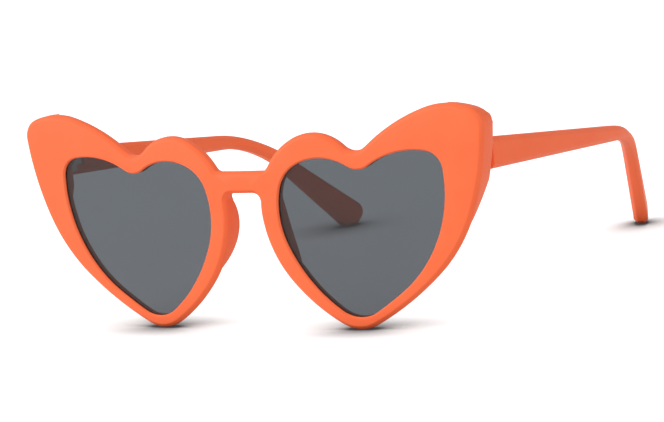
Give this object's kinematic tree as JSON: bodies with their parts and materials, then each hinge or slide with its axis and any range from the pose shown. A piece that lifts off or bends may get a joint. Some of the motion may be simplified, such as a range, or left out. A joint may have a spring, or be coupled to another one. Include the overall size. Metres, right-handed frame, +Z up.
{
  "type": "sunglasses",
  "caption": "Sunglasses with heart shaped rims and raised outer corners, tinted lenses, moulded nose pads and hinged temples with bent tips.",
  "frame": {"origin": "on the ground under the middle of the open sunglasses, between the heart points and the temple tips that they stand on", "axes": "+Z up, -Y the way the lenses face, +Y along the temples towards the ears, +X the wearer's left"},
  "size_m": [0.151, 0.1388, 0.0609],
  "materials": {
    "frame": "soft-touch coral",
    "lens": "clear grey tint",
    "hinge": "satin",
    "screw": "turned"
  },
  "bodies": {
    "front": {"front_frame": "frame", "lens_right": "lens", "hinge_front_right": "hinge", "hinge_screw_right": "screw", "lens_left": "lens", "hinge_front_left": "hinge", "hinge_screw_left": "screw"},
    "temple_right": {"temple_right": "frame", "hinge_temple_right": "hinge"},
    "temple_left": {"temple_left": "frame", "hinge_temple_left": "hinge"}
  },
  "joints": [
    {"name": "fold_right", "type": "hinge", "parent": "front", "child": "temple_right", "pos_m": [0.06755, -0.05424, 0.04595], "axis": [0, 0.0259, 0.9997], "range_deg": [0, 84]},
    {"name": "fold_left", "type": "hinge", "parent": "front", "child": "temple_left", "pos_m": [-0.06755, -0.05424, 0.04595], "axis": [0, -0.0259, -0.9997], "range_deg": [0, 75]}
  ]
}
